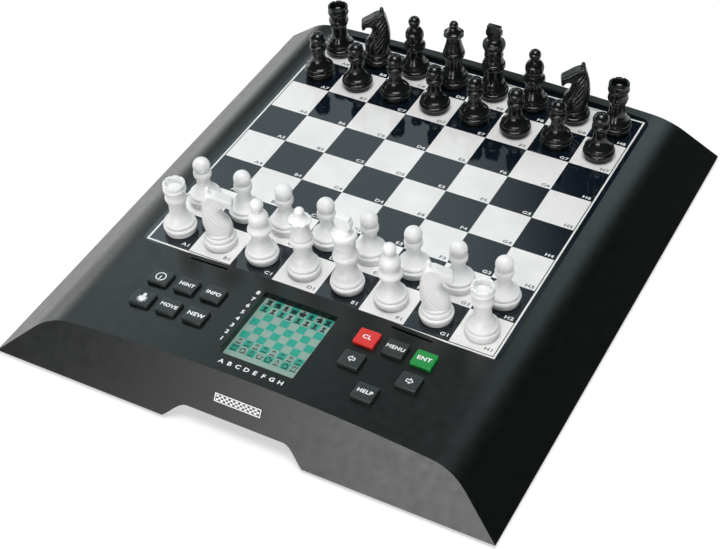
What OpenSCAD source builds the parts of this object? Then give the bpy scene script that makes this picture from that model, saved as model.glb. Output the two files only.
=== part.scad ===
// Tabletop electronic chess computer with its thirty-two pieces set up.
// Frame: X runs from the a file to the h file, Y from the white side to the black side, Z up.
// The origin is on the table, under the middle of the object. Lengths are millimetres.

/* [Housing] */
// Width over the two thin side edges
body_w = 280; // [270:1:290]
// Depth at the seam, front edge to back edge
body_d = 302.8; // [300:0.2:306]
// Height of the playing surface above the table
board_z = 26; // [25:0.5:30]
// How far the crowned top stands above the playing surface in the middle
crown_rise = 3.75; // [2.5:0.25:4.5]
// Slope of the two flanks, from the horizontal
flank_angle = 40; // [38:1:42]
// Radius where the crown turns into a flank
shoulder_r = 34; // [30:1:36]
// Distance that the front face leans back for each millimetre of height
front_lean = 0.61; // [0.5:0.01:0.7]
// Distance that the back face leans forward for each millimetre of height
back_lean = 0.38; // [0.3:0.01:0.45]
// Wall thickness of the top housing
wall = 2.4; // [2:0.1:2.8]
// Height of the rubber feet
foot_h = 1; // [1:0.1:1.4]

/* [Playing surface] */
// Side of one square
square_side = 25; // [24.8:0.1:25.2]
// Distance of the playing surface's middle behind the housing's middle
board_shift = 33.5; // [33:0.5:34]
// Border between the outer squares and the recess wall
board_margin = 2.8; // [2.6:0.1:3]
// Thickness of the printed sheet
sheet_t = 0.6; // [0.5:0.1:0.8]
// Thickness of the pressure-sensor sandwich under the sheet
membrane_t = 1.2; // [1:0.1:1.4]

/* [Display] */
// Width of the display opening
lcd_w = 41.6; // [40:0.2:43]
// Depth of the display opening
lcd_d = 45.4; // [44:0.2:46]
// Middle of the display opening, from the housing's middle
lcd_y = -101; // [-102:0.5:-100]
// How deep the display lies below the crown
lcd_sink = 4.3; // [3.5:0.1:5]

/* [Keys] */
// Width of a key cap
key_w = 11; // [10.4:0.2:11.4]
// Depth of a key cap
key_d = 10; // [9.6:0.2:10.4]
// Height of a key cap above the crown
key_rise = 2; // [1.6:0.1:2.4]
// Gap between a key cap and its hole
key_gap = 0.3; // [0.2:0.05:0.4]
// How far a key travels
key_travel = 1; // [0.6:0.1:1]

/* [Pieces] */
// Radius of a piece's base
base_r = 8.9; // [8.5:0.1:9.2]
// Height of a pawn
pawn_h = 29.4; // [29:0.1:30]
// Height of a rook
rook_h = 32.3; // [32:0.1:33]
// Height of a bishop
bishop_h = 39.2; // [39:0.1:40]
// Height of a queen
queen_h = 43.4; // [43:0.1:44]
// Height of a king
king_h = 47.6; // [47:0.1:48]
// Turn of each knight on its square, degrees
knight_turn = 28; // [0:1:60]

/* [Hidden] */
FILES = ["a", "b", "c", "d", "e", "f", "g", "h"];
BACK_RANK = ["rook", "knight", "bishop", "queen", "king", "bishop", "knight", "rook"];
// Each key: its name, the middle of its cap (x, y) and its colour
KEYS = [
    ["power_key", -74.5, -92, "dimgray"], ["hint_key", -58.8, -92, "dimgray"],
    ["info_key", -43, -92, "dimgray"],
    ["light_key", -74.5, -108.6, "dimgray"], ["move_key", -58.8, -108.6, "dimgray"],
    ["new_key", -43, -108.6, "dimgray"],
    ["clear_key", 40.6, -85.5, "firebrick"], ["menu_key", 56.1, -85.5, "dimgray"],
    ["enter_key", 71.5, -85.5, "seagreen"],
    ["left_key", 40.6, -101.2, "dimgray"], ["right_key", 71.5, -101.2, "dimgray"],
    ["help_key", 56.1, -116.9, "dimgray"]];
CASE_NODES = ["top_housing", "bottom_housing", "battery_cover", "board_sheet", "sensor_membrane",
    "lcd_window", "lcd_module", "main_circuit_board", "key_mats", "batteries",
    "battery_contacts", "speaker", "power_socket", "front_badge", "screws", "rubber_feet"];
function piece_node(side, file, row) = row == "pawn"
    ? str(side, "_pawn_", FILES[file]) : str(side, "_", BACK_RANK[file], "_", FILES[file]);

eps = 0.02;              // a cut's overrun past the face that it opens
big = 400;               // longer than the housing
seam_z = foot_h + 1.2;   // where the top housing meets the bottom housing
rim_inset = 1;           // how far the bottom housing's rim stands back from the top housing
floor_z = foot_h + 2.6;  // top of the bottom housing's plate
crown_z = board_z + crown_rise;
recess_half = 4 * square_side + board_margin;
recess_r = 5;            // corner radius of the board recess
recess_z = board_z - sheet_t - membrane_t;
recess_floor_t = 1.6;
crown_edge = 0.15;       // height of the crown above the sheet at the recess wall
crown_r = (pow(recess_half, 2) + pow(crown_rise - crown_edge, 2)) / 2 / (crown_rise - crown_edge);
shoulder_x = recess_half - 2;
shoulder_a = asin(shoulder_x / crown_r);
nose_r = 1.6;            // rounding of the thin side edge
corner_r = 3;            // plan rounding of the four bottom corners

// Points of an arc round c, from angle a0 to a1
function arc(c, r, a0, a1, n) =
    [for (i = [0:n]) let (a = a0 + (a1 - a0) * i / n) [c[0] + r * cos(a), c[1] + r * sin(a)]];
function mirrored(half) = [for (i = [len(half) - 1:-1:0]) [-half[i][0], half[i][1]]];
// Height of the crown at distance x from the middle
function crown_at(x) = crown_z - crown_r + sqrt(pow(crown_r, 2) - x * x);
function front_y(z) = -body_d / 2 + (z - seam_z) * front_lean;
function back_y(z) = body_d / 2 - (z - seam_z) * back_lean;

shoulder_c = [shoulder_x - shoulder_r * sin(shoulder_a),
    crown_at(shoulder_x) - shoulder_r * cos(shoulder_a)];
// Distance of the flank's line from the origin, along its own normal
function flank_c(inset) = shoulder_c[0] * sin(flank_angle) + shoulder_c[1] * cos(flank_angle)
    + shoulder_r - inset;
nose_c = [body_w / 2 - nose_r,
    (flank_c(nose_r) - (body_w / 2 - nose_r) * sin(flank_angle)) / cos(flank_angle)];

// Half of the cross section, from the middle of the crown out to the edge, moved inwards by inset
function half_section(inset) = concat(
    arc([0, crown_z - crown_r], crown_r - inset, 90, 90 - shoulder_a, 12),
    arc(shoulder_c, shoulder_r - inset, 90 - shoulder_a - 1, 90 - flank_angle, 10),
    inset > 0 ? [[(flank_c(inset) - foot_h * cos(flank_angle)) / sin(flank_angle), foot_h]]
        : concat(arc(nose_c, nose_r, 90 - flank_angle, 0, 4), [[body_w / 2, foot_h]]));

// The housing's outer shape, or its inside when inset is more than 0
module shell_solid(inset = 0) {
    tilt_f = inset * sqrt(1 + front_lean * front_lean);
    tilt_b = inset * sqrt(1 + back_lean * back_lean);
    half = half_section(inset);
    intersection() {
        rotate([90, 0, 0]) linear_extrude(big, center = true)
            polygon(concat(half, mirrored(half)));
        rotate([90, 0, 90]) linear_extrude(big, center = true)
            polygon([[front_y(foot_h) + tilt_f, foot_h], [front_y(crown_z + 1) + tilt_f, crown_z + 1],
                [back_y(crown_z + 1) - tilt_b, crown_z + 1], [back_y(foot_h) - tilt_b, foot_h]]);
        linear_extrude(crown_z + 1) rounded(body_w, body_d + 2, corner_r);
    }
}

// Flat rounded rectangle round the origin
module rounded(w, d, r) {
    square([w - 2 * r, d], center = true);
    square([w, d - 2 * r], center = true);
    for (x = [-1, 1], y = [-1, 1])
        translate([x * (w / 2 - r), y * (d / 2 - r)]) circle(r, $fn = 48);
}

module slab(w, d, r, z0, z1) translate([0, 0, z0]) linear_extrude(z1 - z0) rounded(w, d, r);
module block(x0, x1, y0, y1, z0, z1) translate([x0, y0, z0]) cube([x1 - x0, y1 - y0, z1 - z0]);
module rod(x, y, z0, z1, r) translate([x, y, z0]) cylinder(h = z1 - z0, r = r, $fn = 48);
module at_board() translate([0, board_shift, 0]) children();

// Finger notch in the middle of the front: half width at its mouth and roof, height and depth
notch_mouth = 43;
notch_top = 27;
notch_h = 9.2;
notch_y = 18 - body_d / 2;
notch_wall = 1.8;
function notch_half(grow) = [for (i = [0:8]) let (t = i / 8)
    [notch_mouth + grow - (notch_mouth - notch_top) * t,
        foot_h + grow * t + notch_h * (1 - cos(180 * t)) / 2]];
module notch_solid(grow, y1) {
    side = notch_half(grow);
    translate([0, y1, 0]) rotate([90, 0, 0]) linear_extrude(y1 + body_d / 2 + 5)
        polygon(concat([[side[0][0], foot_h - 1]], side, mirrored(side), [[-side[0][0], foot_h - 1]]));
}

// Battery bay, open downwards, and the channel that its cover slides in
bay_x = 30.6;
bay_y0 = 62;
bay_y1 = 122;
bay_top = 18;
bay_wall = 1.5;
cover_x = 33;
cover_tongue = 1.5;
cover_t = 1.4;
tongue_t = 0.6;
cover_gap = 0.3;

// Fasteners
case_screws = [for (x = [-106, 106], y = [-118, -20, 60, 128]) [x, y]];
board_screws = [for (x = [-86, 86], y = [-126, -80]) [x, y]];
screw_r = 1.4;
screw_head_r = 2.8;
screw_head_t = 1.2;
board_screw_r = 1;
post_r = 3.5;

// Main circuit board, under the front panel
pcb_z = 17;
pcb_t = 1.6;
pcb_half = 92;
pcb_y0 = -132;
pcb_y1 = -74;
mat_t = 1.2;
dome_h = 1.2;
key_foot_z = pcb_z + pcb_t + mat_t + dome_h + key_travel + 0.2;
lcd_top = crown_z - lcd_sink;
lcd_window_t = 1.2;

// Loudspeaker and power socket
speaker_x = 75;
speaker_y = 80;
speaker_r = 18;
socket_x = -80;
socket_z = 10;
socket_r = 4;
socket_hole_r = 2.9;
socket_tip = 146.8;

// The two long slots in the front lip
slot_x = 58.2;
slot_y = -72.3;
slot_w = 22.4;
slot_t = 1.2;

module top_housing() {
    color([0.13, 0.14, 0.14]) difference() {
        union() {
            difference() {
                shell_solid();
                shell_solid(wall);
            }
            intersection() {
                shell_solid();
                union() {
                    at_board() slab(2 * recess_half + 4, 2 * recess_half + 4, recess_r + 2,
                        recess_z - recess_floor_t, crown_z + 1);
                    translate([0, lcd_y, 0]) slab(lcd_w + 4, lcd_d + 4, 2, lcd_top, crown_z + 1);
                    for (p = case_screws) rod(p[0], p[1], floor_z, crown_z, post_r);
                    for (p = board_screws) rod(p[0], p[1], pcb_z + pcb_t, crown_z, post_r - 0.3);
                }
            }
        }
        block(-big, big, -big, big, -1, seam_z);
        at_board() slab(2 * recess_half, 2 * recess_half, recess_r, recess_z, crown_z + 1);
        translate([0, lcd_y, 0]) slab(lcd_w, lcd_d, 0.6, lcd_top - 1, crown_z + 1);
        for (k = KEYS) translate([k[1], k[2], 0])
            slab(key_w + 2 * key_gap, key_d + 2 * key_gap, 1.2, key_foot_z, crown_z + 1);
        for (s = [-1, 1]) translate([s * slot_x, slot_y, 0])
            slab(slot_w, slot_t, slot_t / 2 - 0.05, crown_at(slot_x) - 1.4, crown_z + 1);
        notch_solid(0, notch_y);
        // sensor ribbon slot through the recess floor
        block(-20, 20, board_shift - recess_half + 4, board_shift - recess_half + 7,
            recess_z - recess_floor_t - 1, recess_z + eps);
        for (p = case_screws) rod(p[0], p[1], floor_z - 1, floor_z + 12, screw_r + 0.05);
        for (p = board_screws) rod(p[0], p[1], pcb_z, pcb_z + 7.6, board_screw_r + 0.05);
        translate([socket_x, body_d / 2, socket_z]) rotate([90, 0, 0])
            cylinder(h = 20, r = socket_r + 0.3, $fn = 48);
        block(-cover_x - cover_tongue - 0.6, cover_x + cover_tongue + 0.6, 130, body_d / 2 + 5,
            0, foot_h + cover_t + 2 * cover_gap);
    }
}

module bottom_housing() {
    lip_z = foot_h + cover_t - tongue_t - cover_gap;
    color([0.1, 0.1, 0.1]) difference() {
        union() {
            slab(body_w - 1 - 2 * rim_inset, body_d - 2 * rim_inset, corner_r, foot_h, seam_z);
            intersection() {
                shell_solid(wall + 0.3);
                union() {
                    block(-big, big, -big, big, foot_h, floor_z);
                    notch_solid(notch_wall, notch_y + notch_wall);
                    block(-bay_x - bay_wall, bay_x + bay_wall, bay_y0 - bay_wall, bay_y1 + bay_wall,
                        foot_h, bay_top + bay_wall);
                    rod(speaker_x, speaker_y, floor_z, floor_z + 2.4, speaker_r + 1.6);
                    block(socket_x - 4.5, socket_x + 4.5, 131.5, 143, foot_h, socket_z - 5.3);
                }
            }
        }
        notch_solid(0, notch_y);
        block(-bay_x, bay_x, bay_y0, bay_y1, foot_h - 1, bay_top);
        block(-cover_x - cover_gap, cover_x + cover_gap, bay_y0 - 1.5, big, foot_h - 1,
            foot_h + cover_t + cover_gap);
        block(-cover_x - cover_tongue - cover_gap, cover_x + cover_tongue + cover_gap, bay_y0 - 1.5,
            big, lip_z, foot_h + cover_t + cover_gap);
        rod(speaker_x, speaker_y, floor_z, floor_z + 5, speaker_r + 0.4);
        // grille: rings of holes under the loudspeaker
        rod(speaker_x, speaker_y, 0, floor_z + 1, 1.1);
        for (ring = [1:3]) for (i = [0:6 * ring - 1]) let (a = 60 * i / ring)
            rod(speaker_x + 4 * ring * cos(a), speaker_y + 4 * ring * sin(a), 0, floor_z + 1, 1.1);
        for (p = case_screws) {
            rod(p[0], p[1], 0, floor_z + 1, screw_r + 0.3);
            rod(p[0], p[1], 0, foot_h + 1.4, screw_head_r + 0.4);
        }
        for (x = [-1, 1], y = [-1, 1]) rod(x * foot_x, y * foot_y, 0, foot_h + 0.8, foot_r + 0.1);
    }
}
foot_x = 118;
foot_y = 136;
foot_r = 6;

module rubber_feet() {
    color([0.2, 0.2, 0.2]) for (x = [-1, 1], y = [-1, 1])
        rod(x * foot_x, y * foot_y, 0, foot_h + 0.8, foot_r);
}

module battery_cover() {
    y0 = bay_y0 - 1.2;
    y1 = body_d / 2 - rim_inset - 0.1;
    color([0.1, 0.1, 0.1]) {
        block(-cover_x, cover_x, y0, y1, foot_h, foot_h + cover_t);
        block(-cover_x - cover_tongue, cover_x + cover_tongue, y0, y1 - 4,
            foot_h + cover_t - tongue_t, foot_h + cover_t);
        // thumb ridges
        for (i = [0:3]) block(-9, 9, y1 - 16 + 3 * i, y1 - 15 + 3 * i, foot_h - 0.4, foot_h + eps);
    }
}

module board_sheet() {
    side = 2 * recess_half - 0.2;
    color([0.9, 0.9, 0.88]) at_board()
        slab(side, side, recess_r - 0.1, board_z - sheet_t, board_z);
}

module sensor_membrane() {
    side = 2 * recess_half - 1;
    color("goldenrod") {
        at_board() slab(side, side, recess_r, recess_z, board_z - sheet_t);
        // its flat tail drops through the slot towards the circuit board
        block(-18, 18, board_shift - recess_half + 5, board_shift - recess_half + 6,
            pcb_z + pcb_t, recess_z + eps);
        block(-18, 18, pcb_y1 - 2.2, board_shift - recess_half + 6, pcb_z + pcb_t,
            pcb_z + pcb_t + 0.6);
    }
}

module lcd_window() {
    color("lightcyan") translate([0, lcd_y, 0])
        slab(lcd_w + 3, lcd_d + 3, 1, lcd_top - lcd_window_t, lcd_top);
}

module lcd_module() {
    z1 = lcd_top - lcd_window_t;
    color("darkseagreen") translate([0, lcd_y, 0]) slab(lcd_w + 4, lcd_d + 6, 1, z1 - 2.8, z1);
    color("white") translate([0, lcd_y, 0]) slab(lcd_w + 2, lcd_d + 3, 1, pcb_z + pcb_t, z1 - 2.8);
}

module main_circuit_board() {
    color("darkgreen") difference() {
        block(-pcb_half, pcb_half, pcb_y0, pcb_y1, pcb_z, pcb_z + pcb_t);
        for (p = board_screws) rod(p[0], p[1], pcb_z - 1, pcb_z + pcb_t + 1, board_screw_r + 0.3);
    }
    color("black") {
        block(-10, 10, -98, -84, pcb_z - 2.2, pcb_z);
        block(24, 34, -112, -104, pcb_z - 1.8, pcb_z);
        block(-44, -34, -112, -104, pcb_z - 1.8, pcb_z);
        for (x = [56, 66]) rod(x, -90, pcb_z - 9, pcb_z, 3.2);
    }
    color("silver") block(14, 25, -96, -92, pcb_z - 3.2, pcb_z);
}

module key_mats() {
    z0 = pcb_z + pcb_t;
    color([0.75, 0.75, 0.72]) {
        translate([-58.8, -100.3, 0]) slab(46, 31, 2, z0, z0 + mat_t);
        translate([56, -101.2, 0]) slab(46, 46, 2, z0, z0 + mat_t);
        for (k = KEYS) rod(k[1], k[2], z0, z0 + mat_t + dome_h, 3.6);
    }
}

// One key: a cap with bevelled top edges, a flange that keeps it in, and a foot
module key(k) {
    top = crown_at(k[1]) + key_rise;
    flange_z = crown_at(abs(k[1]) + key_w / 2 + 1.5) - wall - 0.3;
    bevel = 0.6;
    color(k[3]) translate([k[1], k[2], 0]) {
        intersection() {
            slab(key_w, key_d, 0.9, flange_z - eps, top);
            rotate([90, 0, 0]) linear_extrude(key_d + 2, center = true) bevelled(key_w, top, bevel);
            rotate([90, 0, 90]) linear_extrude(key_w + 2, center = true) bevelled(key_d, top, bevel);
        }
        slab(key_w + 2.4, key_d + 2.4, 1.5, flange_z - 1.2, flange_z);
        slab(5, 5, 1, key_foot_z, flange_z);
    }
}
module bevelled(w, top, b)
    polygon([[-w / 2, 0], [w / 2, 0], [w / 2, top - b], [w / 2 - b, top], [b - w / 2, top],
        [-w / 2, top - b]]);

battery_r = 7.1;
battery_l = 50.5;
battery_z = floor_z - 0.4 + battery_r;
battery_xs = [for (i = [-1.5:1:1.5]) 14.8 * i];
battery_y = (bay_y0 + bay_y1) / 2;
module along_y(x, y0, y1, r) translate([x, y1, battery_z]) rotate([90, 0, 0])
    cylinder(h = y1 - y0, r = r, $fn = 48);

module batteries() {
    color("darkorange") for (i = [0:3]) {
        way = i % 2 == 0 ? 1 : -1;
        can0 = battery_y - battery_l / 2 + (way < 0 ? 1 : 0);
        along_y(battery_xs[i], can0, can0 + battery_l - 1, battery_r);
        nub0 = way > 0 ? can0 + battery_l - 1 : can0 - 1;
        along_y(battery_xs[i], nub0, nub0 + 1, 2.7);
    }
}

// At each battery's flat end a coil spring on a plate, at its nub end a plate
module battery_contacts() {
    gap = (bay_y1 - bay_y0 - battery_l) / 2;
    color("silver") for (i = [0:3]) {
        way = i % 2 == 0 ? 1 : -1;
        translate([battery_xs[i], battery_y, battery_z]) {
            scale_y(-way) {
                translate([-5, bay_y1 - battery_y - 0.5, -5]) cube([10, 0.5, 10]);
                for (n = [0:4]) translate([0, battery_l / 2 + 0.55 + n * (gap - 1.45) / 4, 0])
                    rotate([90, 0, 0]) rotate_extrude($fn = 48)
                        translate([2.6 + 0.3 * n, 0]) circle(0.5, $fn = 16);
            }
            scale_y(way) {
                translate([-5, bay_y1 - battery_y - 0.5, -5]) cube([10, 0.5, 10]);
                translate([0, battery_l / 2 + gap, 0]) rotate([90, 0, 0])
                    cylinder(h = gap, r = 1.5, $fn = 32);
            }
        }
    }
}
module scale_y(way) if (way > 0) children(); else mirror([0, 1, 0]) children();

module speaker() {
    color([0.25, 0.25, 0.25]) {
        rod(speaker_x, speaker_y, floor_z, floor_z + 1.2, speaker_r);
        translate([speaker_x, speaker_y, floor_z + 1.2])
            cylinder(h = 3.6, r1 = speaker_r - 2, r2 = 9, $fn = 48);
        rod(speaker_x, speaker_y, floor_z + 4.8, floor_z + 8.4, 9);
    }
}

module power_socket() {
    body_y1 = 143;
    color([0.08, 0.08, 0.08]) difference() {
        union() {
            block(socket_x - 4.5, socket_x + 4.5, 131.5, body_y1, socket_z - 5.3, socket_z + 5.3);
            translate([socket_x, socket_tip, socket_z]) rotate([90, 0, 0])
                cylinder(h = socket_tip - body_y1 + eps, r = socket_r, $fn = 48);
        }
        translate([socket_x, socket_tip + 1, socket_z]) rotate([90, 0, 0])
            cylinder(h = 11, r = socket_hole_r, $fn = 48);
    }
    color("silver") translate([socket_x, socket_tip - 0.8, socket_z]) rotate([90, 0, 0])
        cylinder(h = 9.2 + eps, r = 1, $fn = 32);
}

// Badge on the front face: a plain plate
badge_w = 26;
badge_h = 4.6;
badge_t = 0.4;
badge_z = 18.6;
module front_badge() {
    color("white") translate([0, front_y(badge_z), badge_z])
        rotate([atan2(1, front_lean), 0, 0])
            slab(badge_w, badge_h, 0.5, 0, badge_t);
}

module screw(x, y, z, r, head_r, head_t, length) {
    difference() {
        union() {
            rod(x, y, z, z + head_t, head_r);
            rod(x, y, z, z + head_t + length, r);
        }
        for (a = [0, 90]) translate([x, y, z]) rotate(a)
            cube([head_r * 1.1, 0.6, head_t], center = true);
    }
}

module screws() {
    color("silver") {
        for (p = case_screws)
            screw(p[0], p[1], foot_h + 1.4 - screw_head_t, screw_r, screw_head_r, screw_head_t, 12);
        for (p = board_screws)
            screw(p[0], p[1], pcb_z - screw_head_t, board_screw_r, 2.2, screw_head_t, 7);
    }
}

// Chess pieces. A turned profile is a list of [radius, height] points.
// bow() adds a stretch from p to q that swells outwards by b, or is hollow when b is negative.
function bow(p, q, b, n = 6) = [for (i = [1:n]) let (t = i / n, d = q - p)
    p + d * t + [d[1], -d[0]] * (4 * t * (1 - t) * b / norm(d))];
// Weighted disc, a ring over it and a thin groove under the bell
foot_profile = [[0, 0], [base_r - 1.1, 0], [base_r - 0.75, 0.4], [base_r - 0.7, 1.9],
    [base_r - 0.8, 2.3], [base_r - 0.2, 3.1], [base_r, 3.9], [base_r - 0.15, 4.6],
    [base_r - 0.9, 5.1], [base_r - 0.9, 5.5]];
// Bell that sweeps up into a neck
function skirt(neck_r, neck_z) = concat(foot_profile, [[base_r - 0.7, 6.3]],
    bow([base_r - 0.7, 6.3], [neck_r + 1.9, 10.2], 0.5),
    bow([neck_r + 1.9, 10.2], [neck_r, 15], -0.5), [[neck_r, neck_z]]);
function ball(r, top, neck, n) = let (a = asin(neck / r)) [for (i = [0:n])
    let (t = -90 + a + (180 - a) * i / n) [abs(r * cos(t)), top - r + r * sin(t)]];

pawn_profile = concat(skirt(3.65, 17.3),
    [[4.5, 18.1], [4.85, 18.7], [4.9, 20], [4.8, 21.1], [4.2, 21.6], [3.7, 21.9]],
    ball(4.65, pawn_h, 3.7, 14));
rook_profile = concat(skirt(4.5, 18.3),
    [[5.2, 19.6], [5.45, 21.4], [5.75, 22.2], [5.8, 23.3], [5.5, 24.1], [5.45, 26.2], [5.7, 27.5],
        [6.1, 28.1], [6.1, 28.8], [5.65, 29.4], [5.65, 29.9], [5.85, 30.4], [5.85, rook_h - 0.4],
        [5.55, rook_h], [4.7, rook_h], [4.4, rook_h - 0.4], [4.1, rook_h - 3.8],
        [3.5, rook_h - 4.3], [0, rook_h - 4.4]]);
bishop_profile = concat(skirt(4.6, 17.4),
    [[5.8, 18.3], [6.15, 19], [6.2, 19.9], [5.9, 21.1], [5.3, 21.9], [4.7, 22.8], [4.6, 23.9]],
    bow([4.6, 23.9], [2.4, 32.4], 1.75, 9), [[2.3, 32.9], [2.3, 33.2]],
    ball(3.45, bishop_h, 2.3, 12));
queen_profile = concat(skirt(4.8, 19),
    [[5.7, 19.9], [6.25, 21.2], [6.4, 22.7], [6.2, 23.5], [5.5, 24.1], [5.7, 24.8], [5.5, 25.7],
        [4.9, 27.8], [4.4, 30.4], [4.2, 31.9], [4.5, 33.1], [5.4, 34.1], [6, 34.8], [6.05, 35.6],
        [5.7, 36], [5, 36.1], [3.9, 36.7], [2.9, 37.8], [2.2, 39.3]],
    ball(2.6, queen_h, 2.1, 10));
king_profile = concat(skirt(5.3, 18.7),
    [[6.1, 19.6], [6.6, 21], [6.7, 22.5], [6.4, 23.3], [5.75, 23.8], [5.7, 25], [5.2, 26.2],
        [5.1, 27.4], [5.45, 28.5], [5.4, 29.6], [5.3, 30.6], [5.8, 32.6], [6.5, 34.3], [6.65, 35.5],
        [6.4, 36.6], [5.8, 37.2], [4.8, 37.2], [3.8, 38], [3.2, 39], [0, 39.4]]);
knight_profile = concat(foot_profile, [[base_r - 0.9, 6.3], [7.7, 7.4], [7, 8.1], [7, 8.5],
    [7.2, 9], [6.9, 9.8], [0, 9.9]]);

module turned(profile) rotate_extrude($fn = 64) polygon(concat(profile, [[0, 0]]));

module pawn() turned(pawn_profile);
module bishop() turned(bishop_profile);
module rook() difference() {
    turned(rook_profile);
    for (i = [0:3]) rotate(45 * i) translate([0, 0, rook_h])
        cube([14, 1.4, 2], center = true);
}
module queen() difference() {
    turned(queen_profile);
    for (i = [0:7]) rotate(45 * i + 22.5) translate([8.3, 0, 35.6]) rotate([0, 18, 0])
        cylinder(h = 7, r = 3.2, center = true, $fn = 32);
}
// Cross: half its outline, from the stem up
cross_half = [[3.3, 38], [3.5, 40.8], [4.4, 41.7], [4.55, 44.6], [3.8, 45.3], [3.95, 46.2],
    [3.9, king_h]];
module king() {
    turned(king_profile);
    rotate([90, 0, 0]) linear_extrude(3.6, center = true)
        polygon(concat(cross_half, mirrored(cross_half)));
}
// Head and neck of a knight, seen from its side, nose towards -X
knight_half_t = 3.2;
knight_back = concat([[6.6, 9.4]], bow([6.6, 9.4], [7.6, 26], 1, 6), [[6.8, 29.3], [5.9, 32.3]]);
knight_chest = [[-2.6, 23.2], [-3, 20.6], [-4.2, 18.4], [-5.8, 16.6], [-6.7, 15], [-7, 12.2],
    [-6.7, 9.4]];
knight_outline = concat(knight_back,
    [[4.9, 34.2], [3.9, 34.8], [2.2, 34.6], [-0.5, 33.8], [-4.1, 31.6], [-8, 29.3], [-8.3, 28.6],
        [-8.3, 24.9], [-7.5, 24.2], [-6.8, 24.6], [-6.2, 25.6], [-5.2, 26.2], [-3.4, 26.1]],
    knight_chest);
module knight() {
    turned(knight_profile);
    rotate([90, 0, 0]) linear_extrude(2 * knight_half_t, center = true) polygon(knight_outline);
    // poll knob
    translate([3.4, 0, 33]) cylinder(h = 5.5, r1 = 1.5, r2 = 0.9, $fn = 24);
    // chest and neck are thicker than the head
    intersection() {
        rotate([90, 0, 0]) linear_extrude(20, center = true)
            polygon(concat(knight_back, [[0, 30]], knight_chest));
        translate([0, 0, 9.4]) cylinder(h = 22, r1 = 7, r2 = 2.6, $fn = 48);
    }
}

module piece(kind) {
    if (kind == "pawn") pawn();
    if (kind == "rook") rook();
    if (kind == "knight") knight();
    if (kind == "bishop") bishop();
    if (kind == "queen") queen();
    if (kind == "king") king();
}
// A piece on its square: each side's knights look to that side's right
module placed(side, file, row) {
    rank = side == "white" ? (row == "pawn" ? 1 : 0) : (row == "pawn" ? 6 : 7);
    kind = row == "pawn" ? "pawn" : BACK_RANK[file];
    color(side == "white" ? [0.93, 0.93, 0.91] : [0.08, 0.08, 0.08])
        translate([(file - 3.5) * square_side, board_shift + (rank - 3.5) * square_side, board_z])
            rotate((side == "white" ? 180 : 0) + (kind == "knight" ? knight_turn : 0)) piece(kind);
}

top_housing();
bottom_housing();
battery_cover();
board_sheet();
sensor_membrane();
lcd_window();
lcd_module();
main_circuit_board();
key_mats();
batteries();
battery_contacts();
speaker();
power_socket();
front_badge();
screws();
rubber_feet();
for (k = KEYS) key(k);
for (side = ["white", "black"], row = ["pawn", "back"], f = [0:7])
    placed(side, f, row);
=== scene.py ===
"""Looks of a tabletop electronic chess computer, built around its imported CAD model."""
import math

import bmesh
import bpy
from mathutils import Matrix, Vector


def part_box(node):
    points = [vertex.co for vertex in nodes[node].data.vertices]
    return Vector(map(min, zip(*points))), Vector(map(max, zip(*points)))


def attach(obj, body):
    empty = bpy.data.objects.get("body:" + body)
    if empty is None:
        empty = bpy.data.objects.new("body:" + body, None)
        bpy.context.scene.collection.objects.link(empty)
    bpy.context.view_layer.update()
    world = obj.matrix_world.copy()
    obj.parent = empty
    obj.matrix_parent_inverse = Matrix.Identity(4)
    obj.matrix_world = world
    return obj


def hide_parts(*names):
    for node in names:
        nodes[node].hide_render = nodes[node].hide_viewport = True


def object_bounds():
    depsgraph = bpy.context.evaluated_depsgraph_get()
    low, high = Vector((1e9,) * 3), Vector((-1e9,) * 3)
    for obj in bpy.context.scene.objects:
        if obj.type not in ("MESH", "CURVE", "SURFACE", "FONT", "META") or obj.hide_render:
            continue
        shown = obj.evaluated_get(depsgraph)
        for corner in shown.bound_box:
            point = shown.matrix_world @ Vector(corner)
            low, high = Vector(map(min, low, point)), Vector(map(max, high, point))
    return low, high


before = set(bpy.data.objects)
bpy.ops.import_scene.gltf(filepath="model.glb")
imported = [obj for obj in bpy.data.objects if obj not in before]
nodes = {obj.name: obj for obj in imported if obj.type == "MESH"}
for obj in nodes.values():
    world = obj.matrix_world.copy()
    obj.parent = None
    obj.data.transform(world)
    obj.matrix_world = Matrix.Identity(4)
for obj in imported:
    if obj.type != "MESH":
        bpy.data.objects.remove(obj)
cad_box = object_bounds()
MM = 0.001


# ---------------------------------------------------------------- camera
def make_camera():
    """Camera to the right of the front, looking down on the board, with a small roll."""
    place = (0.3127, -0.5472, 0.5856)
    azimuth, elevation, roll = (math.radians(a) for a in (28.87, 43.84, 2.28))
    level_right = Vector((math.cos(azimuth), math.sin(azimuth), 0))
    forward = Vector((-math.sin(azimuth) * math.cos(elevation),
                      math.cos(azimuth) * math.cos(elevation), -math.sin(elevation)))
    level_up = level_right.cross(forward)
    right = math.cos(roll) * level_right - math.sin(roll) * level_up
    up = right.cross(forward)
    data = bpy.data.cameras.new("camera")
    data.sensor_width = 36
    data.lens = 79.55
    data.shift_x = -0.0506
    data.shift_y = 0.0025
    data.clip_end = 50
    camera = bpy.data.objects.new("camera", data)
    turn = Matrix((right, up, -forward)).transposed().to_4x4()
    camera.matrix_world = Matrix.Translation(place) @ turn
    bpy.context.scene.collection.objects.link(camera)
    bpy.context.scene.camera = camera


make_camera()


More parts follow.
